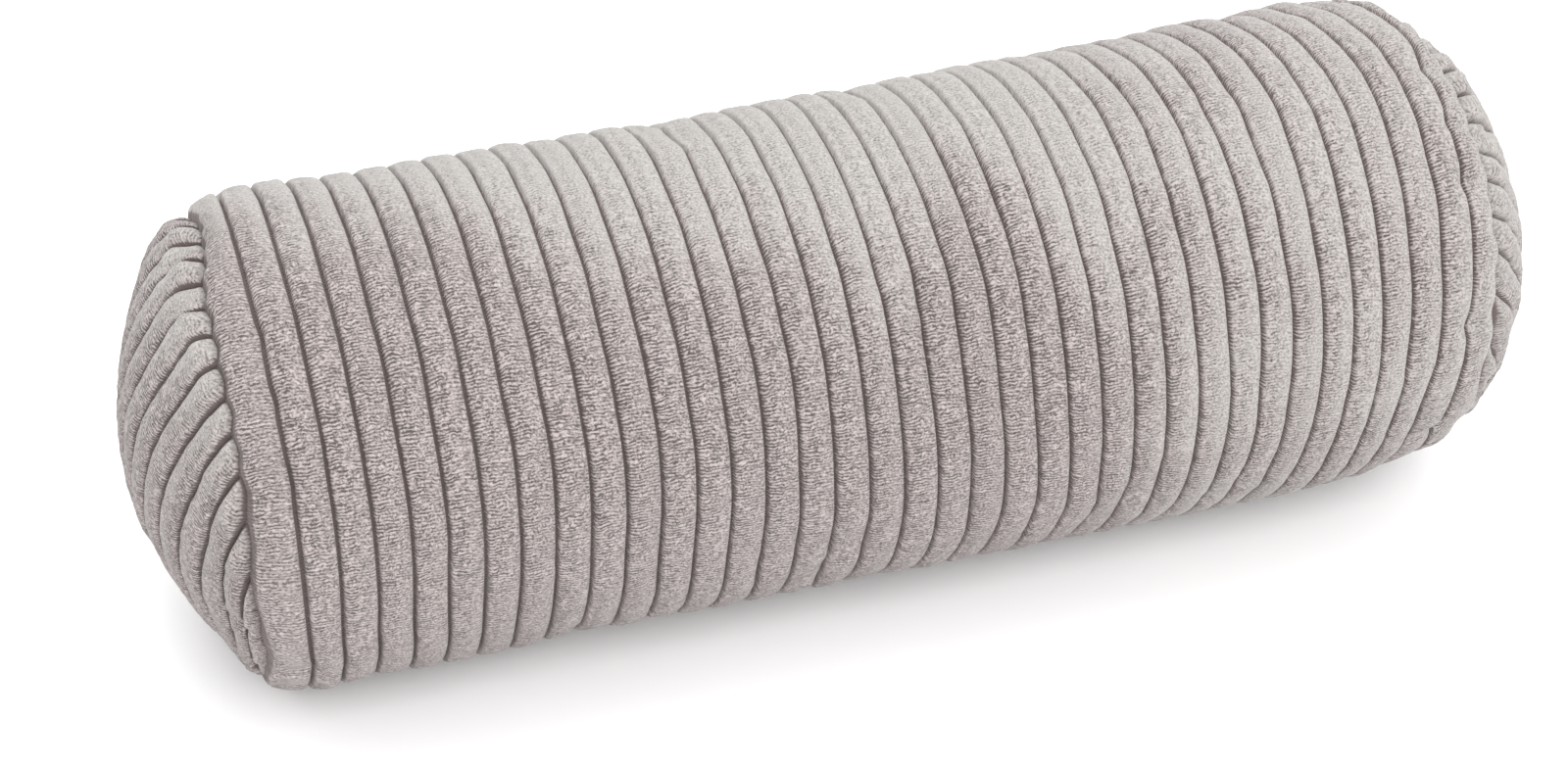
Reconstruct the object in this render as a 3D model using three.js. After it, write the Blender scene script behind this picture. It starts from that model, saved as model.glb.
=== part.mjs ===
// Neck roll pillow in wide-ribbed plush: a round filled roll with ribs running round it, closed at each
// end by a domed panel of the same cloth, whose ribs run straight across.
// Sizes are in millimetres. X runs along the roll, -Y is its front and Z is up. The origin lies under
// the middle of the roll, on the surface that it rests on.

import * as THREE from 'three';
import { LoftGeometry } from 'three/addons/geometries/LoftGeometry.js';

const { degToRad, lerp, radToDeg, smoothstep } = THREE.MathUtils;

// The roll
const CREST_RADIUS = 75;
const ROLL_LENGTH = 382;
const ROLL_SIDES = 28;
const PRESSED_SIDES = 1;

// The ribs: their number, the depth of the narrow grooves between them, how full their tops are, and
// where across a rib, from one groove to the next, the surface has its points
const RIB_COUNT = 37;
const RIB_DEPTH = 2.6;
const RIB_FULLNESS = 6;
const RIB_POINTS = [0, 0.14, 0.5, 0.86];

// The end seams, where the cloth is drawn in a little
const TUCK_DEPTH = 0.8;
const TUCK_REACH = 12;
const SEAM_GAP = 0.3;

// Low on the front the ribs are dragged sideways: the middle ones to the right, the end ones to the left
const SWAY = { middle: 2.6, ends: -2.3, peak: 0.2, spread: 0.38, easeAtSeam: 0.12 };
const SWAY_ANGLES = { top: 25, full: -20, fullUnder: -55, bottom: -85 };

// The end panels: the height of their dome, the radius of the flat cloth that it is eased from, and the
// height above the seam under which their ribs fade
const DOME_HEIGHT = 32;
const PANEL_CLOTH_RADIUS = 77.5;
const PANEL_STEPS = 14;
const RIB_FADE_HEIGHT = 4;
const EDGE_MARGIN = 0.5;

// Each end panel's ribs lean towards the front at the top, and start at their own place on the cloth
const END_PANELS = [
  { name: 'end_panel_left', side: -1, leanDegrees: 20, ribShift: 0.3 },
  { name: 'end_panel_right', side: 1, leanDegrees: 25, ribShift: 0.53 },
];

// Worked out from the sizes above
const RIB_PITCH = ROLL_LENGTH / RIB_COUNT;
const SEAM_RADIUS = CREST_RADIUS - RIB_DEPTH - TUCK_DEPTH;
const PRESSED_ANGLE = PRESSED_SIDES * 2 * Math.PI / ROLL_SIDES;
const AXIS_HEIGHT = CREST_RADIUS * Math.cos(PRESSED_ANGLE);
const DOME_RADIUS = (SEAM_RADIUS ** 2 + DOME_HEIGHT ** 2) / (2 * DOME_HEIGHT);
const DOME_ANGLE = Math.asin(SEAM_RADIUS / DOME_RADIUS);

const plush = () => new THREE.MeshStandardMaterial({ color: 0xaea39d, roughness: 0.95, metalness: 0 });

// How far the cloth lies below the rib's crest, at a place counted in ribs from any groove
function grooveDepth(ribs) {
  const fromCrest = Math.abs(2 * (ribs - Math.floor(ribs)) - 1);
  return RIB_DEPTH * fromCrest ** RIB_FULLNESS;
}

// How far the seam draws the roll in at a distance from it
function tuckDepth(distance) {
  return TUCK_DEPTH * Math.max(0, 1 - distance / TUCK_REACH) ** 2;
}

// How far a rib is dragged along X, at a place from -1 to 1 along the roll and at so many degrees round
// it, counted up its front from the level of its axis
function ribSway(place, degrees) {
  const low = smoothstep(-degrees, -SWAY_ANGLES.top, -SWAY_ANGLES.full);
  const front = smoothstep(degrees, SWAY_ANGLES.bottom, SWAY_ANGLES.fullUnder);
  const nearMiddle = Math.exp(-(((place - SWAY.peak) / SWAY.spread) ** 2));
  const awayFromSeam = smoothstep(1 - Math.abs(place), 0, SWAY.easeAtSeam);
  return lerp(SWAY.ends, SWAY.middle, nearMiddle) * low * front * awayFromSeam;
}

// One ring of the roll, so many ribs from its left seam. Angles are counted from the lowest point, and
// the lowest ones are pressed flat.
function rollRing(ribs) {
  const x = ribs * RIB_PITCH - ROLL_LENGTH / 2;
  const fromSeam = ROLL_LENGTH / 2 - Math.abs(x);
  const radius = CREST_RADIUS - grooveDepth(ribs) - tuckDepth(fromSeam);
  const atSeam = ribs === 0 || ribs === RIB_COUNT;
  const ring = [];
  for (let side = 0; side < ROLL_SIDES; side += 1) {
    const fromLowest = side <= ROLL_SIDES / 2 ? side : side - ROLL_SIDES;
    const angle = fromLowest * 2 * Math.PI / ROLL_SIDES;
    const pressed = !atSeam && Math.abs(fromLowest) <= PRESSED_SIDES;
    const y = radius * Math.sin(angle);
    const z = pressed ? 0 : AXIS_HEIGHT - radius * Math.cos(angle);
    const upTheFront = radToDeg(Math.atan2(-Math.cos(angle), -Math.sin(angle)));
    const sway = ribSway(x / (ROLL_LENGTH / 2), upTheFront);
    ring.push(new THREE.Vector3(x + sway, y, z));
  }
  return ring;
}

function ribbedRoll() {
  const rings = [];
  for (let rib = 0; rib < RIB_COUNT; rib += 1) {
    for (const point of RIB_POINTS) {
      rings.push(rollRing(rib + point));
    }
  }
  rings.push(rollRing(RIB_COUNT));
  const geometry = new LoftGeometry(rings, { capStart: true, capEnd: true });
  const roll = new THREE.Mesh(geometry, plush());
  roll.name = 'ribbed_roll';
  return roll;
}

// The places across an end panel's flat cloth where it has rows of points: those of each of its ribs
function panelRows(ribShift) {
  const reach = PANEL_CLOTH_RADIUS - EDGE_MARGIN;
  const ribsToEdge = Math.ceil(PANEL_CLOTH_RADIUS / RIB_PITCH) + 1;
  const rows = [-reach];
  for (let rib = -ribsToEdge; rib < ribsToEdge; rib += 1) {
    for (const point of RIB_POINTS) {
      const across = (rib + point + ribShift) * RIB_PITCH;
      if (Math.abs(across) < reach - EDGE_MARGIN) {
        rows.push(across);
      }
    }
  }
  rows.push(reach);
  return rows;
}

// Where a point of an end panel's flat cloth lies on the dome, with its rib or groove
function domePoint(across, along, side, ribShift) {
  const fromMiddle = Math.hypot(across, along);
  const angle = DOME_ANGLE * Math.min(1, fromMiddle / PANEL_CLOTH_RADIUS);
  const drawnIn = fromMiddle > 0 ? DOME_RADIUS * Math.sin(angle) / fromMiddle : 1;
  const dome = DOME_RADIUS * (Math.cos(angle) - Math.cos(DOME_ANGLE));
  const fade = Math.min(1, dome / RIB_FADE_HEIGHT);
  const height = dome - grooveDepth(across / RIB_PITCH - ribShift) * fade;
  return new THREE.Vector3(side * height, across * drawnIn, -side * along * drawnIn);
}

// One row of an end panel, over the dome from seam to seam. The loft closes it along the flat back.
function panelRow(across, side, ribShift) {
  const halfLength = Math.sqrt(PANEL_CLOTH_RADIUS ** 2 - across ** 2);
  const row = [];
  for (let step = 0; step <= PANEL_STEPS; step += 1) {
    const along = halfLength * Math.sin((step / PANEL_STEPS - 0.5) * Math.PI);
    row.push(domePoint(across, along, side, ribShift));
  }
  return row;
}

function endPanel({ name, side, leanDegrees, ribShift }) {
  const rows = panelRows(ribShift).map((across) => panelRow(across, side, ribShift));
  const geometry = new LoftGeometry(rows, { capStart: true, capEnd: true });
  const panel = new THREE.Mesh(geometry, plush());
  panel.name = name;
  panel.position.set(side * (ROLL_LENGTH / 2 + SEAM_GAP), 0, AXIS_HEIGHT);
  panel.rotation.x = degToRad(leanDegrees);
  return panel;
}

const pillow = new THREE.Group();
pillow.name = 'neck_roll_pillow';
pillow.add(ribbedRoll());
for (const panel of END_PANELS) {
  pillow.add(endPanel(panel));
}

export default pillow;
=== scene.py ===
import functools
import math

import bmesh
import bpy
import numpy as np
from bpy.props import FloatProperty, FloatVectorProperty, PointerProperty
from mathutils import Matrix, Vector


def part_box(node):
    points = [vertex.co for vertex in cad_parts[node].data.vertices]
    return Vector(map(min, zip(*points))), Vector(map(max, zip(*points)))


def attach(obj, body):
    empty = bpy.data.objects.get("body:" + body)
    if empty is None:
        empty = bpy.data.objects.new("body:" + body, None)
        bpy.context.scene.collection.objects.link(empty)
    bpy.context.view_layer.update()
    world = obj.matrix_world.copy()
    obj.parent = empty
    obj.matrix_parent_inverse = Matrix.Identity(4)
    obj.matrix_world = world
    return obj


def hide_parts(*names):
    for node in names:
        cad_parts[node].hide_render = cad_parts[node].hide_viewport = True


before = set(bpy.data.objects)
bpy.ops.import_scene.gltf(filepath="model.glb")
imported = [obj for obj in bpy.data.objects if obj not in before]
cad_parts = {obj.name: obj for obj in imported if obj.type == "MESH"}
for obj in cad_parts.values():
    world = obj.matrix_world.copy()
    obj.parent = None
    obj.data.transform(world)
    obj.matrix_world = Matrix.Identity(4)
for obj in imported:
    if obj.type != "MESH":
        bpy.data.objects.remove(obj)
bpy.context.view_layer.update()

bl_info = {
    "name": "Neck roll pillow",
    "version": (1, 0, 0),
    "blender": (4, 5, 0),
    "location": "3D View > Sidebar > Neck roll",
    "description": "Builds a neck roll pillow in wide-ribbed plush, with a domed panel in each end",
    "category": "Add Mesh",
}

MM = 0.001

# The frame: the roll lies along X with its front towards -Y, and rests on z = 0
ROLL_NODE = "ribbed_roll"
LEFT_NODE = "end_panel_left"
RIGHT_NODE = "end_panel_right"
ROLL_LOW, ROLL_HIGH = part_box(ROLL_NODE)
PANEL_LOW, PANEL_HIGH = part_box(RIGHT_NODE)
HALF_LENGTH = (ROLL_HIGH.x - ROLL_LOW.x) / 2
CREST_RADIUS = (ROLL_HIGH.y - ROLL_LOW.y) / 2
AXIS_HEIGHT = ROLL_HIGH.z - CREST_RADIUS

# The end seams, and the sphere of which each dome is a part
SEAM_RADIUS = (PANEL_HIGH.y - PANEL_LOW.y) / 2
SEAM_PLACE = PANEL_LOW.x
DOME_HEIGHT = PANEL_HIGH.x - PANEL_LOW.x
DOME_RADIUS = (SEAM_RADIUS ** 2 + DOME_HEIGHT ** 2) / (2 * DOME_HEIGHT)
DOME_ANGLE = math.asin(SEAM_RADIUS / DOME_RADIUS)

# How many ribs, where across half a rib its surface has points, from the crest (0) to the groove (1), and how
# many points lie round the roll and along each rib of a panel
RIB_COUNT = 37
RIB_PITCH = 2 * HALF_LENGTH / RIB_COUNT
HALF_RIB_POINTS = (0.35, 0.64, 0.84, 0.95, 1.0)
ROLL_SEGMENTS = 232
PANEL_SEGMENTS = 250

# How far inside the end seams the hidden middle of each piece's flat end lies
HIDDEN_DEPTH = 2 * MM

# The filled core that the cloth simulation puffs out, before the ribs are laid on it: how many rings it has
# on each dome and on the roll, how many points round it, and for how many frames it is simulated
DOME_RINGS = 15
ROLL_RINGS = 46
CORE_SEGMENTS = 96
CORE_FRAMES = 20

# How far from a seam the core narrows and has spare cloth, and how far its cloth is from even in length,
# as a share, and in height
CORE_NARROWS = 6 * MM
SPARE_CLOTH_REACH = 22 * MM
UNEVEN_LENGTH = 0.006
UNEVEN_START = 0.4 * MM

# Seeds of the mixes of waves. An end panel adds its side, -1 or 1, to the seeds of its own.
WAVES_IN_A_MIX = 8
START_SEED, LENGTH_SEED = 1, 2
SEAM_WANDER_SEED, SEAM_GATHER_SEED = 30, 33
ROLL_SWELL_SEED, ROLL_GATHER_SEED, ROLL_WANDER_SEED = 41, 45, 46
PANEL_SWELL_SEED, PANEL_GATHER_SEED = 50, 53

# Each end panel by its side, left (-1) and right (1): how far its ribs are shifted from its middle, counted
# in ribs, and how much it is flatter at its middle
PANEL_RIB_SHIFT = {-1: 0.3, 1: 0.53}
PANEL_SAG = {-1: 1.2 * MM, 1: 2 * MM}

# Bells round the axis, each as its height, its middle in degrees up from the front and its width in degrees:
# how far the left seam strays outwards, in millimetres, and how much wider the crease of each seam gapes
LEFT_SEAM_BULGES = ((4, -50, 35), (3.8, 15, 50), (3.4, 73, 17), (2, -3, 14), (-1, 95, 40))
SEAM_SLITS = {-1: ((0.6, 22, 8), (1.5, -17, 6)), 1: ((1.1, 12, 7), (1.2, -5, 8), (0.5, -40, 15))}

# Where the brushed pile of the top gives way to the standing pile of the front: places along the roll from
# its left end (-1) to its right end (1), angles up from the front, and over how many degrees. The brushed
# pile is lighter and greener grey, partly by the cloth's own nap and partly as painted light and sheen on the
# top.
NAP_EDGE_PLACES = (-1.0, -0.75, -0.5, -0.15, -0.02, 0.12, 0.22, 0.32, 0.45, 0.62, 0.78, 1.0)
NAP_EDGE_ANGLES = (94, 88, 66, 55, 36, 68, 62, 34, 50, 55, 38, 24)
NAP_EDGE_SOFTNESS = 32

# The rows of tufts across each rib, and how far the dark of a groove, its bare cloth and painted shade,
# reaches across it, as a share
ROW_PITCH = 1.08 * MM
TUFT_PITCH = 1.15 * MM
ROLL_GROOVE_REACH = 0.065
PANEL_GROOVE_REACH = 0.084

# The stage: how bright the floor and the sky are, each soft light's place, size and power, and the camera
FLOOR_GREY = 0.93
SKY_STRENGTH = 1.15
SOFTBOXES = {
    "softbox_top": ((0.1, 0.35, 1.5), (1.6, 1.2), 12),
    "softbox_front": ((0.1, -1.6, 1.5), (2.4, 1.6), 34),
}
SOFTBOX_TARGET = (0, 0, 0.08)
SENSOR_WIDTH = 36
LENS = 64.76
CAMERA_PLACE = (-0.2405, -0.6713, 0.5191 + AXIS_HEIGHT)
CAMERA_TURN = (math.pi / 2 - 0.6468, 0, -0.3209)


class RibbedPlushSizes(bpy.types.PropertyGroup):
    """The sizes of the ribs, the seams and the end panels"""

    rib_depth: FloatProperty(
        name="Rib depth", description="How far the groove's floor lies below the rib's crest",
        default=2.8 * MM, unit="LENGTH")
    groove_width: FloatProperty(
        name="Groove width", description="Width of the bare cloth between two ribs",
        default=0.9 * MM, unit="LENGTH")
    rib_fullness: FloatProperty(
        name="Rib fullness", description="2 gives a round rib, and more gives a flatter one with steep sides",
        default=3.8)
    groove_wander: FloatProperty(
        name="Groove wander", description="How far the grooves stray from straight lines",
        default=0.22 * MM, unit="LENGTH")
    rib_unevenness: FloatProperty(
        name="Rib unevenness", description="How much one stretch of a rib is plumper than the next",
        default=0.3 * MM, unit="LENGTH")
    fluff: FloatProperty(
        name="Fluff", description="How uneven the pile is over a few millimetres",
        default=0.16 * MM, unit="LENGTH")
    tuck: FloatProperty(
        name="Seam tuck", description="How far the roll's crests are drawn in at an end seam",
        default=0.8 * MM, unit="LENGTH")
    tuck_reach: FloatProperty(
        name="Tuck reach", description="How far from the seam the roll is drawn in",
        default=12 * MM, unit="LENGTH")
    gather: FloatProperty(
        name="Gathers", description="Height of the gathers in the cloth beside an end seam",
        default=0.55 * MM, unit="LENGTH")
    seam_wander: FloatProperty(
        name="Seam wander", description="How far the end seams stray from their plain line",
        default=0.4 * MM, unit="LENGTH")
    scallop: FloatProperty(
        name="Seam scallops", description="How far a panel's rib ends push the seam to and fro",
        default=0.5 * MM, unit="LENGTH")
    panel_cloth_radius: FloatProperty(
        name="Panel cloth radius", description="Radius of an end panel's cloth when flat, inside its seam",
        default=77.5 * MM, unit="LENGTH")
    rib_end_round: FloatProperty(
        name="Rib end rounding", description="How far from the seam the ends of a panel's ribs round off",
        default=3.6 * MM, unit="LENGTH")
    rib_end_plump: FloatProperty(
        name="Rib end plumpness", description="How far the ends of a panel's ribs stand up beside the seam",
        default=0.8 * MM, unit="LENGTH")
    lean_left: FloatProperty(
        name="Left panel lean",
        description="How far the left panel's ribs lean towards the front at the top",
        default=math.radians(20), subtype="ANGLE")
    lean_right: FloatProperty(
        name="Right panel lean",
        description="How far the right panel's ribs lean towards the front at the top",
        default=math.radians(25), subtype="ANGLE")
    seam_width: FloatProperty(
        name="Seam width", description="Width of the bare cloth on each side of an end seam",
        default=1.15 * MM, unit="LENGTH")
    seam_depth: FloatProperty(
        name="Seam depth", description="How deep the crease along an end seam is",
        default=2.2 * MM, unit="LENGTH")
    fuller_right: FloatProperty(
        name="Fuller right", description="How much fuller the right end is than the left one",
        default=0.034, subtype="FACTOR")
    seam_shrink: FloatProperty(
        name="Seam shrink", description="How much shorter the sewing thread draws the end seams",
        default=0.03, subtype="FACTOR")
    spare_cloth: FloatProperty(
        name="Spare cloth", description="How much longer the cloth near the seams is than the plain form",
        default=0.02, subtype="FACTOR")
    cap: FloatProperty(
        name="Simulation cap", description="How far the cloth simulation may move a point",
        default=4 * MM, unit="LENGTH")


class PlushColours(bpy.types.PropertyGroup):
    """The colours of the pile"""

    standing: FloatVectorProperty(
        name="Standing pile", description="Colour of the pile where it stands up towards the eye",
        default=(0.302, 0.268, 0.261), size=3, subtype="COLOR")
    # The brushed pile's greener grey is partly the cloth's own and partly painted sheen of the pile on the
    # top
    brushed: FloatVectorProperty(
        name="Brushed pile", description="Colour of the pile where it is brushed flat",
        default=(0.273, 0.261, 0.248), size=3, subtype="COLOR")
    # The groove colour is the ground cloth's own and also painted shade, in the grooves and in the crease
    # along each seam
    groove: FloatVectorProperty(
        name="Groove", description="Colour of the ground cloth in the grooves",
        default=(0.125, 0.096, 0.091), size=3, subtype="COLOR")


def smooth_step(value, low, high):
    """0 below low, 1 above high, and a smooth rise between them"""
    part = np.clip((value - low) / (high - low), 0, 1)
    return part * part * (3 - 2 * part)


def bell(value, middle, width):
    """1 at the middle, falling smoothly to nothing about two widths away"""
    return np.exp(-(((value - middle) / width) ** 2))


def bells(value, table, start=0.0):
    """The sum of several bells, each given as its height, its middle and its width"""
    return sum((height * bell(value, middle, width) for height, middle, width in table), start)


def waves(seed, wavelength, *places):
    """Smooth unevenness from about -1 to 1, the same on each run, that changes over about a wavelength"""
    random = np.random.default_rng(seed)
    total = 0.0
    for _ in range(WAVES_IN_A_MIX):
        direction = random.normal(size=len(places))
        direction /= np.linalg.norm(direction)
        along = sum(place * share for place, share in zip(places, direction))
        turn = math.tau * random.uniform(0.7, 1.5) / wavelength
        total = total + np.sin(turn * along + random.uniform(0, math.tau))
    return total / math.sqrt(2 * WAVES_IN_A_MIX)


def mesh_points(mesh):
    """A mesh's vertices as an array"""
    points = np.empty(len(mesh.vertices) * 3, np.float32)
    mesh.vertices.foreach_get("co", points)
    return points.reshape(-1, 3).astype(float)


def set_mesh_points(mesh, points):
    mesh.vertices.foreach_set("co", points.astype(np.float32).ravel())
    mesh.update()


def angle_round_axis(points):
    """The angle of points round the roll's axis, from the bottom towards the back. The axis is at z = 0."""
    return np.arctan2(points[:, 1], -points[:, 2]) % math.tau


def degrees_up(angle):
    """Degrees up from the front: 0 is the front, 90 the top, 180 the back and -90 the bottom"""
    return 270 - np.degrees(angle)


def put_faces_in_order(mesh):
    """Rebuilds a mesh with its faces in the order of their points. Blender's operators leave them in an order
    that changes from run to run, and the cloth simulation's result depends on it."""
    points = mesh_points(mesh)
    faces = []
    for face in mesh.polygons:
        corners = list(face.vertices)
        first = corners.index(min(corners))
        faces.append(corners[first:] + corners[:first])
    mesh.clear_geometry()
    mesh.from_pydata(points.tolist(), [], sorted(faces))
    mesh.update()


def spun_chain(name, chain, steps):
    """A closed mesh made by spinning a chain of places and radii round the X axis"""
    bm = bmesh.new()
    vert = bm.verts.new((chain[0][0], 0, -chain[0][1]))
    for place, out in chain[1:]:
        vert = bmesh.ops.extrude_vert_indiv(bm, verts=[vert])["verts"][0]
        vert.co = (place, 0, -out)
    bmesh.ops.spin(
        bm, geom=bm.verts[:] + bm.edges[:], cent=(0, 0, 0), axis=(1, 0, 0), angle=math.tau, steps=steps,
        use_merge=True)
    bmesh.ops.remove_doubles(bm, verts=bm.verts[:], dist=1e-6)
    bmesh.ops.recalc_face_normals(bm, faces=bm.faces[:])
    mesh = bpy.data.meshes.new(name)
    bm.to_mesh(mesh)
    bm.free()
    put_faces_in_order(mesh)
    return mesh


def core_rings():
    """The filled core's rings, from the left pole to the right one: how far each lies from the roll's middle
    along the cloth, its place along X and its radius"""
    panel_cloth = bpy.context.scene.neck_roll_sizes.panel_cloth_radius
    share = np.linspace(0, 1, DOME_RINGS + 1)
    height = DOME_RADIUS * (np.cos(DOME_ANGLE * share) - math.cos(DOME_ANGLE))
    out = DOME_RADIUS * np.sin(DOME_ANGLE * share)
    dome = np.stack([SEAM_PLACE + (1 - share) * panel_cloth, SEAM_PLACE + height, out])
    x = np.linspace(-SEAM_PLACE, SEAM_PLACE, ROLL_RINGS + 2)[1:-1]
    drawn_in = (CREST_RADIUS - SEAM_RADIUS) * np.exp(-(SEAM_PLACE - np.abs(x)) / CORE_NARROWS)
    roll = np.stack([x, x, CREST_RADIUS - drawn_in])
    mirrored = dome * np.array([[-1], [-1], [1]])
    return np.concatenate([mirrored, roll, dome[:, ::-1]], axis=1)


def puff_out(core, points):
    """Runs the cloth simulation on the core, and gives its points at the end. The thread draws the seams in,
    and the cloth beside them is longer than the plain form, so that it puckers there."""
    sizes = bpy.context.scene.neck_roll_sizes
    from_middle = np.abs(points[:, 0])
    from_seam = np.abs(from_middle - SEAM_PLACE)
    beside_seam = np.where(from_middle < SEAM_PLACE, bell(from_seam, 0, SPARE_CLOTH_REACH), 1)
    shrink = -sizes.spare_cloth * beside_seam + UNEVEN_LENGTH * waves(LENGTH_SEED, 60 * MM, *points.T)
    shrink = np.where(from_seam < 0.01 * MM, sizes.seam_shrink, shrink)
    low, high = float(shrink.min()), float(shrink.max())
    group = core.vertex_groups.new(name="shrink")
    for vertex, amount in enumerate(shrink):
        group.add([vertex], float((amount - low) / (high - low)), "REPLACE")
    cloth = core.modifiers.new("cloth", "CLOTH").settings
    cloth.quality = 4
    cloth.mass = 0.15
    cloth.tension_stiffness = 15
    cloth.compression_stiffness = 15
    cloth.shear_stiffness = 5
    cloth.bending_stiffness = 0.5
    cloth.use_pressure = True
    cloth.uniform_pressure_force = 12
    cloth.effector_weights.gravity = 0
    cloth.vertex_group_shrink = group.name
    cloth.shrink_max = high
    cloth.shrink_min = low
    scene = bpy.context.scene
    for frame_number in range(1, CORE_FRAMES + 1):
        scene.frame_set(frame_number)
    puffed = mesh_points(core.evaluated_get(bpy.context.evaluated_depsgraph_get()).data)
    scene.frame_set(1)
    return puffed


@functools.lru_cache(maxsize=1)
def core_moves():
    """How far the cloth simulation moves each point of the filled core, ring by ring"""
    cap = bpy.context.scene.neck_roll_sizes.cap
    _, place, radius = core_rings()
    moves = np.zeros((len(place), CORE_SEGMENTS, 3))
    mesh = spun_chain("filled_core", list(zip(place, radius)), CORE_SEGMENTS)
    core = bpy.data.objects.new("filled_core", mesh)
    bpy.context.scene.collection.objects.link(core)
    points = mesh_points(mesh)
    out = np.hypot(points[:, 1], points[:, 2])
    angle = angle_round_axis(points)
    lumps = UNEVEN_START * waves(START_SEED, 25 * MM, *points.T) * np.minimum(1, out / (20 * MM))
    outwards = np.stack([np.zeros(len(out)), np.sin(angle), -np.cos(angle)], 1)
    set_mesh_points(mesh, points + lumps[:, None] * outwards)
    move = puff_out(core, points) - points
    bpy.data.objects.remove(core)
    bpy.data.meshes.remove(mesh)
    length = np.linalg.norm(move, axis=1)
    move *= (np.minimum(length, cap) / np.maximum(length, 1e-9))[:, None]
    ring = (np.subtract.outer(points[:, 0], place) ** 2 + np.subtract.outer(out, radius) ** 2).argmin(1)
    segment = np.rint(angle / math.tau * CORE_SEGMENTS).astype(int) % CORE_SEGMENTS
    moves[ring, segment] = move
    on_dome = np.clip(1 - (radius / SEAM_RADIUS) ** 2, 0, 1) * (np.abs(place) > SEAM_PLACE)
    for pole in (0, len(place) - 1):
        moves[pole, :] = moves[pole, segment[ring == pole][0]]
        this_end = np.sign(place) == np.sign(place[pole])
        moves[:, :, 0] -= (on_dome * this_end * moves[pole, 0, 0])[:, None]
    return moves


def spline_shares(part):
    """The shares of four neighbours in a smooth curve through them, part of the way between the middle two"""
    return (
        (-part + 2 * part ** 2 - part ** 3) / 2,
        (2 - 5 * part ** 2 + 3 * part ** 3) / 2,
        (part + 4 * part ** 2 - 3 * part ** 3) / 2,
        (part ** 3 - part ** 2) / 2)


def moved_with_core(points, cloth_place, angle):
    """Points moved as the filled core below them was moved by the cloth simulation"""
    moves = core_moves()
    rings = core_rings()[0]
    ring_place = np.interp(cloth_place, rings, np.arange(len(rings)))
    ring = np.minimum(ring_place.astype(int), len(rings) - 2)
    turn_place = angle / math.tau * CORE_SEGMENTS
    turn = turn_place.astype(int)
    total = np.zeros_like(points)
    for step, ring_share in enumerate(spline_shares(ring_place - ring)):
        row = np.clip(ring - 1 + step, 0, len(rings) - 1)
        for turn_step, turn_share in enumerate(spline_shares(turn_place - turn)):
            column = (turn - 1 + turn_step) % CORE_SEGMENTS
            total += (ring_share * turn_share)[:, None] * moves[row, column]
    return points + total


def rib_places(first, last):
    """Every place between first and last, counted in ribs, where a rib's surface has points"""
    half = 0.5 - groove_share() / 2
    offsets = sorted({0.0} | {side * point * half for point in HALF_RIB_POINTS for side in (-1, 1)})
    middles = np.arange(math.floor(first) - 1, math.ceil(last) + 1) + 0.5
    places = np.concatenate([middle + np.array(offsets) for middle in middles])
    return [float(place) for place in places if first < place < last]


def groove_share():
    """The groove's width as a share of the distance from rib to rib"""
    return bpy.context.scene.neck_roll_sizes.groove_width / RIB_PITCH


def rib_drop(ribs):
    """How far the surface lies below the crest, from 0 to 1, at a place counted in ribs from a groove"""
    sizes = bpy.context.scene.neck_roll_sizes
    from_crest = np.abs(ribs - np.floor(ribs) - 0.5) / (0.5 - groove_share() / 2)
    full = np.clip(1 - np.clip(from_crest, 0, 1) ** sizes.rib_fullness, 0, 1)
    return 1 - full ** (1 / sizes.rib_fullness)


def rib_swell(ribs, seed, *along):
    """How much plumper or thinner each stretch of a rib is, and the fluff of its pile"""
    sizes = bpy.context.scene.neck_roll_sizes
    from_rib_to_rib = 0.37
    own_stretch = waves(seed, 35 * MM, np.floor(ribs) * from_rib_to_rib, *along)
    fluff = waves(seed + 1, 6 * MM, ribs * RIB_PITCH, *along)
    return (sizes.rib_unevenness * own_stretch + sizes.fluff * fluff) * (1 - rib_drop(ribs))


def lay_cloth_map(mesh, across, along, wrap=None):
    """Gives a mesh its UV map: places on the flat cloth, counted in ribs. wrap joins a tube's two edges."""
    layer = mesh.uv_layers.new(name="cloth")
    corners = np.empty(len(mesh.loops), np.int32)
    mesh.loops.foreach_get("vertex_index", corners)
    starts = np.empty(len(mesh.polygons), np.int32)
    totals = np.empty(len(mesh.polygons), np.int32)
    mesh.polygons.foreach_get("loop_start", starts)
    mesh.polygons.foreach_get("loop_total", totals)
    v = along[corners]
    if wrap is not None:
        face_of = np.repeat(np.arange(len(starts)), totals)
        highest = np.maximum.reduceat(v, starts)
        v = np.where(highest[face_of] - v > wrap / 2, v + wrap, v)
    layer.data.foreach_set("uv", np.stack([across[corners], v], 1).astype(np.float32).ravel())


def finished_piece(name, mesh, node, material):
    """Puts a padded piece into the scene, in place of a node of the frame"""
    piece = bpy.data.objects.new(name, mesh)
    bpy.context.scene.collection.objects.link(piece)
    mesh.materials.clear()
    mesh.materials.append(material)
    mesh.shade_smooth()
    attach(piece, "root")
    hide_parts(node)


def close_end(bm, edges, centre):
    """Closes a loop of edges with a fan of faces round a point"""
    made = bmesh.ops.extrude_edge_only(bm, edges=edges)["geom"]
    verts = [item for item in made if isinstance(item, bmesh.types.BMVert)]
    for vert in verts:
        vert.co = centre
    bmesh.ops.remove_doubles(bm, verts=verts, dist=1e-6)


def rib_sway(place, degrees):
    """How far the ribs are dragged along X: low on the front, as in the CAD model, and at the right end, to
    the right at the top and to the left on the front. place goes from -1 at the left end to 1."""
    low_front = smooth_step(-degrees, -25, 20) * smooth_step(degrees, -85, -55)
    away_from_ends = smooth_step(1 - np.abs(place), 0, 0.12)
    right_end = smooth_step(place, 0.5, 0.92) * smooth_step(1 - place, 0, 0.05)
    millimetres = (-2.3 + 4.9 * bell(place, 0.2, 0.38)) * low_front * away_from_ends
    millimetres += (3.0 * bell(degrees, 88, 34) - 2.5 * bell(degrees, 5, 40)) * right_end
    return millimetres * MM


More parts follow.
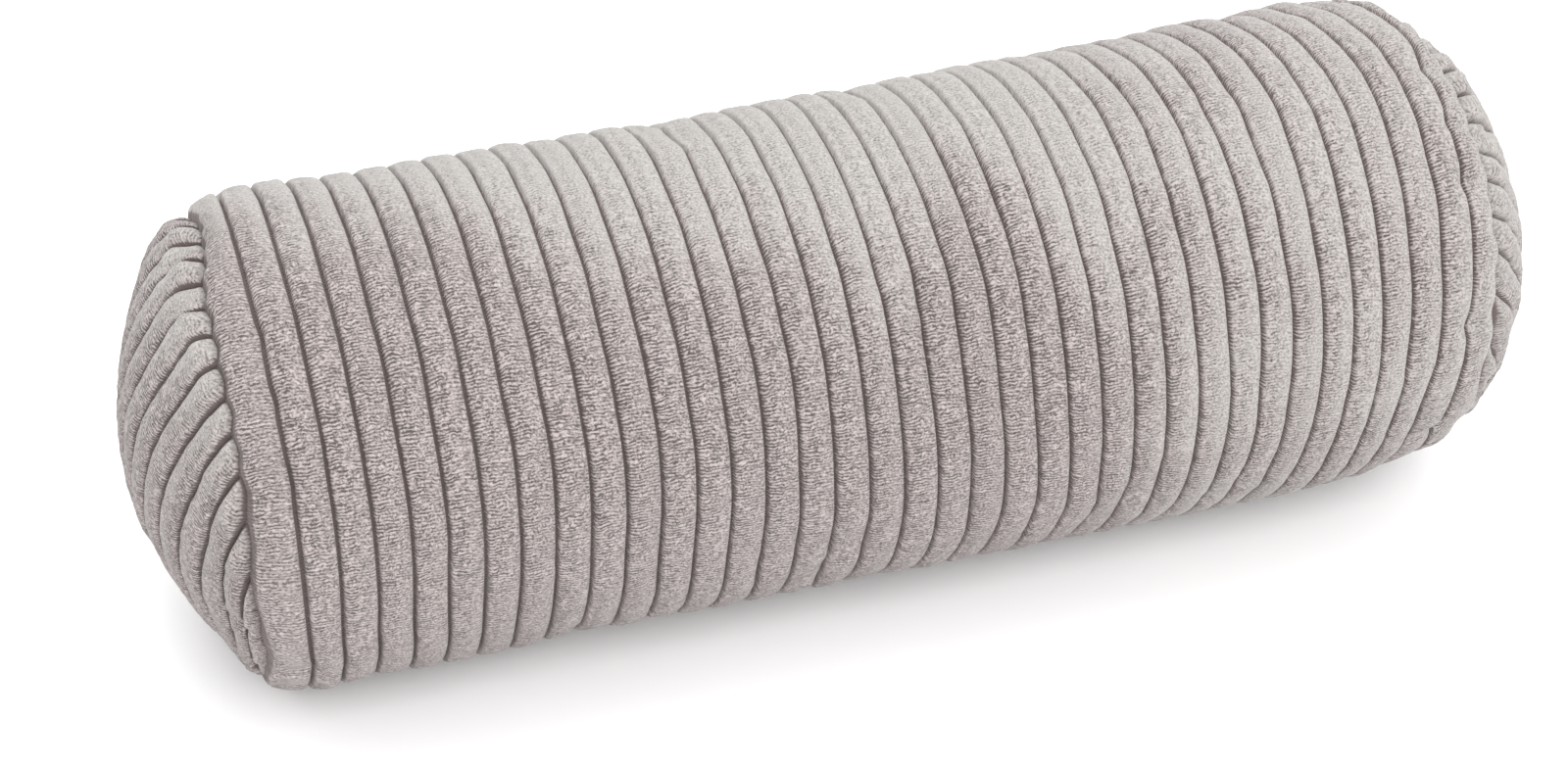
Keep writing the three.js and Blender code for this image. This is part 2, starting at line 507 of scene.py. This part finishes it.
def lay_down(points):
    """Lays a piece down on the floor, a little askew. The roll's right end is a little fuller than its left
    one, and drawn in low on the front. What would lie below the floor is pressed flat, with a soft edge."""
    fuller_right = bpy.context.scene.neck_roll_sizes.fuller_right
    place = points[:, 0] / SEAM_PLACE
    fuller = 1 + fuller_right * smooth_step(place, -0.2, 0.8)
    forward = (1.3 + 4.5 * place) * MM
    degrees = degrees_up(angle_round_axis(points))
    radius = np.hypot(points[:, 1], points[:, 2])
    slack = smooth_step(place, 0.7, 1.0) * bell(degrees, -30, 50) * np.minimum(1, radius / SEAM_RADIUS)
    drawn_in = 1 - 0.07 * slack
    soft_edge = 0.5 * MM
    x = points[:, 0] - 0.33 * forward
    y = points[:, 1] * fuller * drawn_in - forward
    z = soft_edge * np.logaddexp(0, (points[:, 2] * drawn_in + AXIS_HEIGHT) * fuller / soft_edge)
    return np.stack([x, y, z], 1)


def panel_lean(side):
    """How far an end panel's ribs lean"""
    sizes = bpy.context.scene.neck_roll_sizes
    return sizes.lean_left if side < 0 else sizes.lean_right


def seam_moves(angle, side):
    """How far a seam strays outwards along X, and away from the axis, at an angle round the axis. A panel's
    plump rib ends push it towards the roll, and its grooves draw it back."""
    sizes = bpy.context.scene.neck_roll_sizes
    lean = panel_lean(side)
    y, z = np.sin(angle), -np.cos(angle)
    across = y * math.cos(lean) + z * math.sin(lean)
    along = z * math.cos(lean) - y * math.sin(lean)
    ribs = across * sizes.panel_cloth_radius / RIB_PITCH - PANEL_RIB_SHIFT[side]
    rib_end = -np.cos(math.tau * ribs) * np.abs(along)
    ring = (SEAM_RADIUS * y, SEAM_RADIUS * z)
    wander = waves(SEAM_WANDER_SEED + side, 28 * MM, *ring)
    to_and_fro = -sizes.scallop * rib_end + sizes.seam_wander * wander
    gathers = waves(SEAM_GATHER_SEED + side, 20 * MM, *ring)
    in_and_out = 0.4 * sizes.scallop * rib_end + 0.5 * sizes.gather * gathers
    if side < 0:
        to_and_fro += bells(degrees_up(angle), LEFT_SEAM_BULGES) * MM
    return to_and_fro, in_and_out


def seam_opening(angle, side):
    """How many times wider the crease along a seam is than elsewhere, at an angle round the axis"""
    return bells(degrees_up(angle), SEAM_SLITS[side], 1.0)


def nap_strokes(place, degrees):
    """How far the roll's pile is brushed flat, from -1 to 1, in broad strokes. The back is like the front."""
    back = degrees > 135
    place = np.where(back, -place, place)
    degrees = np.where(back, 270 - degrees, degrees)
    edge = np.interp(place, NAP_EDGE_PLACES, NAP_EDGE_ANGLES)
    # Towards the right end the pile is half brushed all round and never fully brushed on the top, which makes
    # it lighter low down and less light on the top: partly the cloth's own nap and partly painted light from
    # the right
    most_brushed = 1 - 0.7 * smooth_step(place, 0.2, 0.6)
    strokes = np.clip((degrees - edge) / NAP_EDGE_SOFTNESS, -1, most_brushed)
    half_brushed_with_painted_light = (0.85 + 0.35 * smooth_step(degrees, -25, 10)) * smooth_step(place, 0.15, 0.5)
    return np.maximum(strokes, half_brushed_with_painted_light - 1)


def store_on_points(mesh, name, values):
    """Stores a value for each point of a mesh, for its material to read"""
    layer = mesh.attributes.new(name, "FLOAT", "POINT")
    layer.data.foreach_set("value", values.astype(np.float32))


def from_roll_seams(x, angle):
    """How far points of the roll are from the nearer end seam, and how many times wider its crease is"""
    from_seam = np.maximum(HALF_LENGTH - np.abs(x), 0)
    return from_seam, np.where(x < 0, seam_opening(angle, -1), seam_opening(angle, 1))


class NECKROLL_OT_ribbed_roll(bpy.types.Operator):
    """Builds the filled roll with its ribs"""

    bl_idname = "neckroll.ribbed_roll"
    bl_label = "Ribbed roll"

    def execute(self, context):
        sizes = context.scene.neck_roll_sizes
        places = np.array([0.0] + rib_places(0.0, RIB_COUNT) + [float(RIB_COUNT)])
        x = places * RIB_PITCH - HALF_LENGTH
        radius = CREST_RADIUS - sizes.rib_depth * rib_drop(places)
        end = SEAM_PLACE - HIDDEN_DEPTH
        chain = [(-end, 0.0)] + list(zip(x, radius)) + [(end, 0.0)]
        mesh = spun_chain("ribbed_plush_roll", chain, ROLL_SEGMENTS)
        points = mesh_points(mesh)
        place = points[:, 0] / HALF_LENGTH
        angle = angle_round_axis(points)
        ribs = (points[:, 0] + HALF_LENGTH) / RIB_PITCH
        around = angle * CREST_RADIUS
        lay_cloth_map(mesh, ribs, around / RIB_PITCH, math.tau * CREST_RADIUS / RIB_PITCH)
        from_seam, opening = from_roll_seams(points[:, 0], angle)
        store_on_points(mesh, "brushed", nap_strokes(place, degrees_up(angle)))
        store_on_points(mesh, "seam", from_seam / opening / sizes.seam_width)
        # Towards the right end the dark of each groove is painted wider, as painted shade on the left side of
        # each rib there
        store_on_points(mesh, "groove", 1 + 0.15 * smooth_step(place, 0.0, 0.8))
        set_mesh_points(mesh, lay_down(self.filled(sizes, points, ribs, angle)))
        material = plush_material("ribbed_plush_of_roll", ROLL_GROOVE_REACH)
        finished_piece("ribbed_plush_roll", mesh, ROLL_NODE, material)
        return {"FINISHED"}

    def filled(self, sizes, points, ribs, angle):
        """The roll's points, with the cloth's own unevenness, its gathers and the filling's push"""
        x = points[:, 0]
        radius = np.hypot(points[:, 1], points[:, 2])
        ring = (CREST_RADIUS * np.sin(angle), CREST_RADIUS * np.cos(angle))
        from_seam, opening = from_roll_seams(x, angle)
        away_from_seam = smooth_step(from_seam, 0, 12 * MM)
        swell = rib_swell(ribs, ROLL_SWELL_SEED, *ring)
        tucked = sizes.tuck * np.clip(1 - from_seam / sizes.tuck_reach, 0, 1) ** 2
        gathers = sizes.gather * bell(from_seam, 5 * MM, 5 * MM)
        gathers *= waves(ROLL_GATHER_SEED, 20 * MM, x * 0.3, *ring)
        crease = 1 - smooth_step(from_seam / opening, 0, 1.5 * sizes.seam_width)
        new_radius = radius + swell - tucked + gathers - sizes.seam_depth * crease * np.sqrt(opening)
        moved_x = x + rib_sway(x / HALF_LENGTH, degrees_up(angle))
        wander = waves(ROLL_WANDER_SEED, 30 * MM, x * 0.8, *ring)
        moved_x += sizes.groove_wander * away_from_seam * wander
        near_seam = 1 - smooth_step(from_seam, 2 * MM, 11 * MM)
        for side in (-1, 1):
            to_and_fro, in_and_out = seam_moves(angle, side)
            this_end = side * x > 0
            moved_x += this_end * side * to_and_fro * near_seam
            new_radius += this_end * in_and_out * np.exp(-from_seam / (5 * MM))
        out = np.where(radius < MM, radius, new_radius)
        filled = np.stack([moved_x, out * np.sin(angle), -out * np.cos(angle)], 1)
        return moved_with_core(filled, x, angle)


def panel_drop(sizes, across, along, crossing, to_seam, round_axis, side):
    """How far points of an end panel lie below the plain dome. crossing is 1 where a rib meets the seam
    squarely, and 0 where it runs along it."""
    ribs = across / RIB_PITCH - PANEL_RIB_SHIFT[side]
    rounding = np.clip(1 - to_seam / sizes.rib_end_round, 0, 1)
    end_drop = 1 - np.sqrt(np.clip(1 - rounding ** 2, 0, 1))
    plump = sizes.rib_end_plump * (1.4 if side > 0 else 1.0) * bell(to_seam, 6 * MM, 4 * MM)
    plump = plump * (1 - 2 * rib_drop(ribs)) * crossing
    drop = 1.25 * sizes.rib_depth * np.maximum(rib_drop(ribs), end_drop) - plump
    drop -= rib_swell(ribs, PANEL_SWELL_SEED + side, along)
    gathers = waves(PANEL_GATHER_SEED + side, 22 * MM, across, along)
    drop -= 0.5 * sizes.gather * bell(to_seam, 9 * MM, 8 * MM) * gathers
    opening = seam_opening(round_axis, side)
    crease = 1 - smooth_step(to_seam / opening, 0, 1.5 * sizes.seam_width)
    return drop + sizes.seam_depth * np.sqrt(opening) * crease


def panel_on_dome(across, along, side):
    """Where points of an end panel's flat cloth lie on its dome, about the roll's axis"""
    sizes = bpy.context.scene.neck_roll_sizes
    lean = panel_lean(side)
    from_middle = np.minimum(np.hypot(across, along), sizes.panel_cloth_radius)
    to_seam = sizes.panel_cloth_radius - from_middle
    unit_across = across / np.maximum(from_middle, 1e-9)
    unit_along = along / np.maximum(from_middle, 1e-9)
    unit_y = unit_across * math.cos(lean) - unit_along * math.sin(lean)
    unit_z = unit_across * math.sin(lean) + unit_along * math.cos(lean)
    round_axis = np.arctan2(unit_y, -unit_z) % math.tau
    drop = panel_drop(sizes, across, along, np.abs(unit_along), to_seam, round_axis, side)
    angle = DOME_ANGLE * from_middle / sizes.panel_cloth_radius
    out = (DOME_RADIUS - drop) * np.sin(angle)
    height = (DOME_RADIUS - drop) * np.cos(angle) - DOME_RADIUS * math.cos(DOME_ANGLE)
    to_and_fro, in_and_out = seam_moves(round_axis, side)
    height = height + to_and_fro * (1 - smooth_step(to_seam, 2 * MM, 22 * MM))
    out = out + in_and_out * np.exp(-to_seam / (5 * MM))
    if side < 0:
        slack = bell(out * unit_y, -38 * MM, 32 * MM) * bell(out * unit_z, -42 * MM, 36 * MM)
        height = height - 3.5 * MM * slack
        out = out + 2.2 * MM * bell(degrees_up(round_axis), 95, 45) * bell(to_seam, 10 * MM, 10 * MM)
    height = height - PANEL_SAG[side] * (1 - from_middle / sizes.panel_cloth_radius)
    points = np.stack([side * (SEAM_PLACE + height), out * unit_y, out * unit_z], 1)
    return moved_with_core(points, side * (SEAM_PLACE + to_seam), round_axis)


class NECKROLL_OT_end_panels(bpy.types.Operator):
    """Builds the two domed end panels"""

    bl_idname = "neckroll.end_panels"
    bl_label = "End panels"

    def execute(self, context):
        sizes = context.scene.neck_roll_sizes
        for node, side in ((LEFT_NODE, -1), (RIGHT_NODE, 1)):
            self.build_panel(sizes, node, side)
        return {"FINISHED"}

    def flat_panel(self, sizes, name, side):
        """The panel's round of cloth laid flat, with rows of points along its ribs. It is closed by a fan of
        faces to one point behind it, at z = -1."""
        shift = PANEL_RIB_SHIFT[side]
        reach = sizes.panel_cloth_radius / RIB_PITCH
        rows = [-reach] + [p + shift for p in rib_places(-reach - shift, reach - shift)] + [reach]
        rows = np.array(rows) * RIB_PITCH
        rows[0] += 0.05 * MM
        rows[-1] -= 0.05 * MM
        bm = bmesh.new()
        bmesh.ops.create_grid(bm, x_segments=len(rows) - 1, y_segments=PANEL_SEGMENTS, size=1)
        mesh = bpy.data.meshes.new(name)
        bm.to_mesh(mesh)
        square = mesh_points(mesh)
        row = np.rint((square[:, 0] + 1) / 2 * (len(rows) - 1)).astype(int)
        across = rows[row]
        share = 0.5 * square[:, 1] + 0.5 * np.sin(square[:, 1] * math.pi / 2)
        along = share * np.sqrt(sizes.panel_cloth_radius ** 2 - across ** 2)
        for vert, a, b in zip(bm.verts, across, along):
            vert.co = (a, b, 0)
        close_end(bm, [edge for edge in bm.edges if edge.is_boundary], Vector((0, 0, -1)))
        bm.to_mesh(mesh)
        bm.free()
        return mesh

    def build_panel(self, sizes, node, side):
        mesh = self.flat_panel(sizes, "plush_" + node, side)
        across, along, level = mesh_points(mesh).T
        points = panel_on_dome(across, along, side)
        round_axis = angle_round_axis(points)
        points[level < -0.5] = (side * (SEAM_PLACE - HIDDEN_DEPTH), 0, 0)
        set_mesh_points(mesh, lay_down(points))
        bm = bmesh.new()
        bm.from_mesh(mesh)
        bmesh.ops.recalc_face_normals(bm, faces=bm.faces[:])
        bm.to_mesh(mesh)
        bm.free()
        put_faces_in_order(mesh)
        own_part_of_map = 50 * (side + 2)
        lay_cloth_map(mesh, across / RIB_PITCH - PANEL_RIB_SHIFT[side] + own_part_of_map, along / RIB_PITCH)
        to_seam = sizes.panel_cloth_radius - np.hypot(across, along)
        # Each panel's pile is more brushed, and so lighter, towards its top: partly the cloth's own nap and
        # partly painted light from above
        strokes = 0.65 * np.clip(along / (60 * MM), -1, 1)
        if side < 0:
            strokes += 0.5 * smooth_step(along, 45 * MM, 75 * MM) - 0.8
            # Beside the left seam the panel's grooves show wider dark, their ground cloth and painted shade
            # of the pits where they open
            groove = 1 + 0.3 * bell(to_seam, 0, 8 * MM)
        else:
            strokes -= 0.1
            groove = np.full(len(points), 0.95)
        store_on_points(mesh, "brushed", strokes)
        store_on_points(mesh, "seam", to_seam / seam_opening(round_axis, side) / sizes.seam_width)
        store_on_points(mesh, "groove", groove)
        material = plush_material("ribbed_plush_of_ends", PANEL_GROOVE_REACH)
        finished_piece("plush_" + node, mesh, node, material)


class NodeWriter:
    """Adds nodes to a tree, each one to the right of the nodes that feed it"""

    column_width = 220
    row_height = 200

    def __init__(self, tree):
        self.tree = tree
        self.filled = {}

    def add(self, kind, inputs=None, **settings):
        node = self.tree.nodes.new(kind)
        for name, value in settings.items():
            setattr(node, name, value)
        column = 0
        for key, value in (inputs or {}).items():
            if isinstance(value, bpy.types.NodeSocket):
                self.tree.links.new(value, node.inputs[key])
                column = max(column, round(value.node.location.x / self.column_width) + 1)
            else:
                node.inputs[key].default_value = value
        row = self.filled.get(column, 0)
        self.filled[column] = row + 1
        node.location = (column * self.column_width, -row * self.row_height)
        return node

    def math(self, operation, *values):
        node = self.add("ShaderNodeMath", dict(enumerate(values)), operation=operation)
        return node.outputs[0]

    def rise(self, value, low, high, first=0.0, last=1.0):
        """Goes smoothly from first to last while value goes from low to high"""
        inputs = {"Value": value, "From Min": low, "From Max": high, "To Min": first, "To Max": last}
        return self.add("ShaderNodeMapRange", inputs, interpolation_type="SMOOTHSTEP").outputs[0]

    def vector(self, x, y, z=0.0):
        return self.add("ShaderNodeCombineXYZ", {"X": x, "Y": y, "Z": z}).outputs[0]

    def noise(self, vector, scale, detail=2.0, roughness=0.5):
        """Soft noise, from about -1 to 1"""
        inputs = {"Vector": vector, "Scale": scale, "Detail": detail, "Roughness": roughness}
        made = self.add("ShaderNodeTexNoise", inputs, noise_dimensions="3D").outputs[0]
        return self.math("MULTIPLY_ADD", made, 4.0, -2.0)

    def white(self, vector):
        """A chance value from 0 to 1 for each whole-numbered place"""
        return self.add("ShaderNodeTexWhiteNoise", {"Vector": vector}, noise_dimensions="3D").outputs["Value"]

    def mix(self, share, first, second, blend="MIX"):
        node = self.add("ShaderNodeMix", data_type="RGBA", blend_type=blend)
        for key, value in ((0, share), (6, first), (7, second)):
            if isinstance(value, bpy.types.NodeSocket):
                self.tree.links.new(value, node.inputs[key])
                node.location.x = max(node.location.x, value.node.location.x + self.column_width)
            else:
                node.inputs[key].default_value = value if key == 0 else (*value, 1)
        return node.outputs[2]


def node_group(name, inputs, outputs, fill):
    """A shader node group, made once. fill writes its nodes and gives the socket for each output."""
    group = bpy.data.node_groups.get(name)
    if group:
        return group
    group = bpy.data.node_groups.new(name, "ShaderNodeTree")
    for way, labels in (("INPUT", inputs), ("OUTPUT", outputs)):
        for label in labels:
            group.interface.new_socket(label, in_out=way, socket_type="NodeSocketFloat")
    writer = NodeWriter(group)
    entry = writer.add("NodeGroupInput")
    results = fill(writer, entry.outputs)
    writer.add("NodeGroupOutput", dict(zip(outputs, results)))
    return group


def rib_place(writer, given):
    """Where a point is on its rib: across it from 0 to 1, the rib's number, and along it, counted in ribs"""
    cloth = writer.add("ShaderNodeUVMap", uv_map="cloth").outputs[0]
    split = writer.add("ShaderNodeSeparateXYZ", {0: cloth})
    across = writer.math("FRACT", split.outputs[0])
    rib = writer.math("FLOOR", split.outputs[0])
    return across, rib, split.outputs[1]


def nap_state(writer, given):
    """How far the pile is brushed flat, from 0 to 1: in broad strokes, rib by rib, and in flecks"""
    across, rib, along, strokes = (given[label] for label in ("Across", "Rib", "Along", "Strokes"))
    ribs = writer.math("ADD", rib, across)
    broad = writer.noise(writer.vector(ribs, along), 0.24, 4.0, 0.55)
    own_place = writer.vector(writer.math("MULTIPLY", rib, 7.31), writer.math("MULTIPLY", along, 0.3))
    own = writer.noise(own_place, 1.0)
    fleck_place = writer.vector(writer.math("MULTIPLY", ribs, 2.9), writer.math("MULTIPLY", along, 1.7))
    flecks = writer.noise(fleck_place, 1.0, 4.0, 0.65)
    total = writer.math("MULTIPLY_ADD", across, 0.6, -0.3)
    for part, weight in ((strokes, 1.0), (broad, 0.4), (own, 0.12), (flecks, 0.3)):
        total = writer.math("MULTIPLY_ADD", part, weight, total)
    return (writer.rise(total, -1.05, 1.05),)


def pile_relief(writer, given):
    """The pile's height from 0 to 1, and its fine fibres: rows across each rib, strongest on its left, broken
    into tufts, and much softer where the pile is brushed flat"""
    across, rib, along, brushed = (given[label] for label in ("Across", "Rib", "Along", "Brushed"))
    offset = writer.math("MULTIPLY", rib, 3.7)
    place = writer.vector(across, along, offset)
    bend = writer.noise(place, 1.7, 2.0, 0.6)
    curl = writer.noise(place, 4.5, 2.0)
    clumps = writer.noise(place, 3.3, 3.0, 0.6)

    # Rows that bend, and droop towards both sides of the rib
    row = writer.math("MULTIPLY", along, RIB_PITCH / ROW_PITCH)
    row = writer.math("MULTIPLY_ADD", bend, 0.5, row)
    row = writer.math("MULTIPLY_ADD", curl, 0.28, row)
    from_middle = writer.math("SUBTRACT", across, 0.45)
    row = writer.math("MULTIPLY_ADD", writer.math("MULTIPLY", from_middle, from_middle), -1.6, row)
    row_number = writer.math("FLOOR", row)

    # Tufts in each row, which don't line up with those of the next
    own_row = writer.white(writer.vector(row_number, offset))
    tuft = writer.math("MULTIPLY", across, RIB_PITCH / TUFT_PITCH)
    tuft = writer.math("MULTIPLY_ADD", curl, 0.35, tuft)
    tuft = writer.math("ADD", own_row, tuft)
    own = writer.white(writer.vector(writer.math("FLOOR", tuft), row_number, offset))

    # Gaps between rows and between tufts, of uneven depth, and deepest on the left
    from_row = writer.math("ABSOLUTE", writer.math("SUBTRACT", writer.math("FRACT", row), 0.5))
    from_tuft = writer.math("ABSOLUTE", writer.math("SUBTRACT", writer.math("FRACT", tuft), 0.5))
    grain_place = writer.vector(writer.math("MULTIPLY", tuft, 1.6), writer.math("MULTIPLY", row, 1.6), offset)
    grains = writer.noise(grain_place, 1.0, 2.0, 0.7)
    dash_place = writer.vector(writer.math("MULTIPLY", across, 6.0), row_number, offset)
    dashes = writer.rise(writer.noise(dash_place, 0.9, 2.0), -0.8, 0.6, 0.35, 1.25)
    row_gap = writer.math("MULTIPLY", writer.rise(from_row, 0.05, 0.5), dashes)
    own_depth = writer.rise(own, 0.3, 1.0, 0.0, 0.55)
    tuft_gap = writer.math("MULTIPLY", writer.rise(from_tuft, 0.1, 0.5), own_depth)
    gaps = writer.math("MAXIMUM", row_gap, tuft_gap)
    gaps = writer.math("MULTIPLY_ADD", writer.rise(grains, -0.5, 0.6), 0.2, gaps)
    gaps = writer.math("MULTIPLY_ADD", own, 0.13, gaps)
    gaps = writer.math("MULTIPLY", gaps, writer.rise(across, 0.08, 0.7, 1.2, 0.5))

    # Brushed pile is smoother, but for flecks
    depth = writer.rise(brushed, 0.1, 0.95, 1.0, 0.3)
    depth = writer.math("MULTIPLY", depth, writer.rise(clumps, -1.3, 0.8, 1.0, 0.65))
    depth = writer.math("MAXIMUM", depth, writer.rise(clumps, 0.4, 1.3, 0.0, 0.6))
    height = writer.math("SUBTRACT", 1.0, writer.math("MULTIPLY", gaps, depth))

    fine = writer.vector(writer.math("MULTIPLY", across, 13.0), writer.math("MULTIPLY", row, 1.8), offset)
    fine_noise = writer.noise(fine, 1.0, 2.0, 0.7)
    fibres = writer.math("MULTIPLY", fine_noise, writer.rise(across, 0.2, 0.8, 1.08, 0.8))
    return height, fibres


def bare_cloth_and_painted_shade(writer, across, gap, brushed, groove_reach):
    """How far the dark groove colour shows, from 0 to 1, as the ground cloth and painted shade: in the
    grooves, with teeth of pile on their right side, and in the crease along a seam, as painted shade of the
    crease"""
    from_groove = writer.math("PINGPONG", writer.math("ADD", across, 0.014), 0.5)
    teeth = writer.math("MULTIPLY", gap, writer.rise(across, 0.06, 0.3, 0.06, 0.0))
    bare = writer.math("SUBTRACT", from_groove, teeth)
    widening = writer.add("ShaderNodeAttribute", attribute_name="groove").outputs["Fac"]
    bare = writer.math("DIVIDE", bare, widening)
    bare = writer.math("MULTIPLY", bare, writer.math("MULTIPLY_ADD", brushed, 0.06, 1.0))
    in_groove = writer.rise(bare, groove_reach - 0.025, groove_reach, 1.0, 0.0)
    seam = writer.add("ShaderNodeAttribute", attribute_name="seam").outputs["Fac"]
    seam = writer.math("MULTIPLY_ADD", gap, -0.3, seam)
    return writer.math("MAXIMUM", in_groove, writer.rise(seam, 0.75, 1.0, 1.0, 0.0))


def painted_pile_shade(writer, across, gap, fibres, brushed):
    """How light the pile is, as a colour of painted shade and light: darker and a little warmer in its gaps,
    as painted shade; lighter where its fibres catch the light, as painted highlights; lighter beside the
    groove on the left side of each rib, as painted light against the groove's shade; lighter on the left of
    standing pile than on its right, which evens out its deeper gaps on the left; and a little lighter on the
    right of brushed pile, as painted light from the right"""
    # Painted shade: darker in the pile's gaps
    shade = writer.math("MULTIPLY_ADD", gap, -1.3, 1.25)
    # Painted highlights where the fibres catch the light
    shade = writer.math("MULTIPLY_ADD", fibres, writer.math("MULTIPLY_ADD", brushed, -0.3, 1.02), shade)
    # Painted light on the left side of each rib, beside the groove's shade
    painted_flank_light = writer.math("MULTIPLY_ADD", brushed, 0.2, 0.2)
    shade = writer.math("MULTIPLY_ADD", writer.rise(across, 0.12, 0.36, 1.0, 0.0), painted_flank_light, shade)
    # Painted light across each rib: lighter on the left of standing pile, and a little lighter on the right
    # of brushed pile
    painted_side_light = writer.math("MULTIPLY_ADD", brushed, -0.17, 0.14)
    shade = writer.math("MULTIPLY_ADD", writer.rise(across, 0.1, 0.8, 1.0, -1.0), painted_side_light, shade)
    shade = writer.math("MINIMUM", writer.math("MAXIMUM", shade, 0.3), 1.45)
    # Painted shade in the gaps is a little warmer, with less green and blue
    less = writer.math("MULTIPLY", shade, writer.math("MULTIPLY_ADD", gap, -0.08, 1.0))
    return writer.add("ShaderNodeCombineColor", {0: shade, 1: less, 2: less}).outputs[0]


def plush_material(name, groove_reach):
    """Ribbed plush: matt with a soft sheen, dark grooves of ground cloth and painted shade, rows of tufts
    with painted shade in their gaps where the pile stands, and lighter, smoother pile where it is brushed
    flat"""
    material = bpy.data.materials.get(name)
    if material:
        return material
    colours = bpy.context.scene.neck_roll_colours
    material = bpy.data.materials.new(name)
    material.use_nodes = True
    tree = material.node_tree
    shader = tree.nodes["Principled BSDF"]
    writer = NodeWriter(tree)
    on_rib = ("Across", "Rib", "Along")
    place = writer.add("ShaderNodeGroup", node_tree=node_group("rib_place", (), on_rib, rib_place)).outputs
    strokes = writer.add("ShaderNodeAttribute", attribute_name="brushed").outputs["Fac"]
    nap_group = node_group("nap_state", (*on_rib, "Strokes"), ("Brushed",), nap_state)
    nap = writer.add("ShaderNodeGroup", node_tree=nap_group)
    pile_group = node_group("pile_relief", (*on_rib, "Brushed"), ("Height", "Fibres"), pile_relief)
    pile = writer.add("ShaderNodeGroup", node_tree=pile_group)
    for label in on_rib:
        tree.links.new(place[label], nap.inputs[label])
        tree.links.new(place[label], pile.inputs[label])
    tree.links.new(strokes, nap.inputs["Strokes"])
    brushed = nap.outputs["Brushed"]
    tree.links.new(brushed, pile.inputs["Brushed"])
    height, fibres = pile.outputs["Height"], pile.outputs["Fibres"]
    gap = writer.math("SUBTRACT", 1.0, height)
    bare = bare_cloth_and_painted_shade(writer, place["Across"], gap, brushed, groove_reach)
    pile_colour = writer.mix(brushed, tuple(colours.standing), tuple(colours.brushed))
    painted_shades = painted_pile_shade(writer, place["Across"], gap, fibres, brushed)
    pile_colour = writer.mix(1.0, pile_colour, painted_shades, "MULTIPLY")
    # The groove colour, ground cloth and painted shade, is lighter where the pile is brushed over the groove
    groove_shade = writer.math("MULTIPLY_ADD", brushed, 0.15, 1.0)
    groove_shades = writer.add("ShaderNodeCombineColor", {channel: groove_shade for channel in range(3)})
    groove = writer.mix(1.0, tuple(colours.groove), groove_shades.outputs[0], "MULTIPLY")
    tree.links.new(writer.mix(bare, pile_colour, groove), shader.inputs["Base Color"])
    relief = writer.math("MULTIPLY_ADD", fibres, 0.25, height)
    bump = writer.add("ShaderNodeBump", {"Height": relief, "Strength": 1.0, "Distance": 0.5 * MM})
    tree.links.new(bump.outputs[0], shader.inputs["Normal"])
    shader.inputs["Roughness"].default_value = 0.95
    shader.inputs["Specular IOR Level"].default_value = 0.2
    shader.inputs["Sheen Weight"].default_value = 0.25
    shader.inputs["Sheen Roughness"].default_value = 0.5
    return material


class NECKROLL_OT_stage(bpy.types.Operator):
    """Sets the pale floor, the soft lights and the camera"""

    bl_idname = "neckroll.stage"
    bl_label = "Stage"

    def execute(self, context):
        self.add_floor(context)
        self.add_lights(context)
        self.add_camera(context)
        context.scene.view_settings.view_transform = "Standard"
        return {"FINISHED"}

    def add_floor(self, context):
        bm = bmesh.new()
        bmesh.ops.create_grid(bm, x_segments=1, y_segments=1, size=6)
        mesh = bpy.data.meshes.new("floor")
        bm.to_mesh(mesh)
        bm.free()
        floor = bpy.data.objects.new("floor", mesh)
        context.scene.collection.objects.link(floor)
        material = bpy.data.materials.new("floor_white")
        material.use_nodes = True
        shader = material.node_tree.nodes["Principled BSDF"]
        shader.inputs["Base Color"].default_value = (FLOOR_GREY, FLOOR_GREY, FLOOR_GREY, 1)
        shader.inputs["Roughness"].default_value = 0.9
        mesh.materials.append(material)

    def add_lights(self, context):
        world = bpy.data.worlds.new("studio")
        world.use_nodes = True
        sky = world.node_tree.nodes["Background"]
        sky.inputs["Color"].default_value = (1, 1, 1, 1)
        sky.inputs["Strength"].default_value = SKY_STRENGTH
        context.scene.world = world
        for name, (place, size, power) in SOFTBOXES.items():
            light = bpy.data.lights.new(name, "AREA")
            light.shape = "RECTANGLE"
            light.size, light.size_y = size
            light.energy = power
            lamp = bpy.data.objects.new(name, light)
            lamp.location = place
            aim = Vector(SOFTBOX_TARGET) - Vector(place)
            lamp.rotation_euler = aim.to_track_quat("-Z", "Y").to_euler()
            context.scene.collection.objects.link(lamp)

    def add_camera(self, context):
        data = bpy.data.cameras.new("camera")
        data.sensor_width = SENSOR_WIDTH
        data.lens = LENS
        camera = bpy.data.objects.new("camera", data)
        camera.location = CAMERA_PLACE
        camera.rotation_euler = CAMERA_TURN
        context.scene.collection.objects.link(camera)
        context.scene.camera = camera


class NECKROLL_PT_panel(bpy.types.Panel):
    """Lists the pieces of the neck roll pillow"""

    bl_label = "Neck roll pillow"
    bl_idname = "NECKROLL_PT_panel"
    bl_space_type = "VIEW_3D"
    bl_region_type = "UI"
    bl_category = "Neck roll"

    def draw(self, context):
        for operator in OPERATORS:
            self.layout.operator(operator.bl_idname)


OPERATORS = (NECKROLL_OT_ribbed_roll, NECKROLL_OT_end_panels, NECKROLL_OT_stage)
CLASSES = (RibbedPlushSizes, PlushColours, *OPERATORS, NECKROLL_PT_panel)


def register():
    for item in CLASSES:
        bpy.utils.register_class(item)
    bpy.types.Scene.neck_roll_sizes = PointerProperty(type=RibbedPlushSizes)
    bpy.types.Scene.neck_roll_colours = PointerProperty(type=PlushColours)


def unregister():
    del bpy.types.Scene.neck_roll_colours
    del bpy.types.Scene.neck_roll_sizes
    for item in reversed(CLASSES):
        bpy.utils.unregister_class(item)


def main():
    register()
    bpy.ops.neckroll.ribbed_roll()
    bpy.ops.neckroll.end_panels()
    bpy.ops.neckroll.stage()


if __name__ == "__main__":
    main()
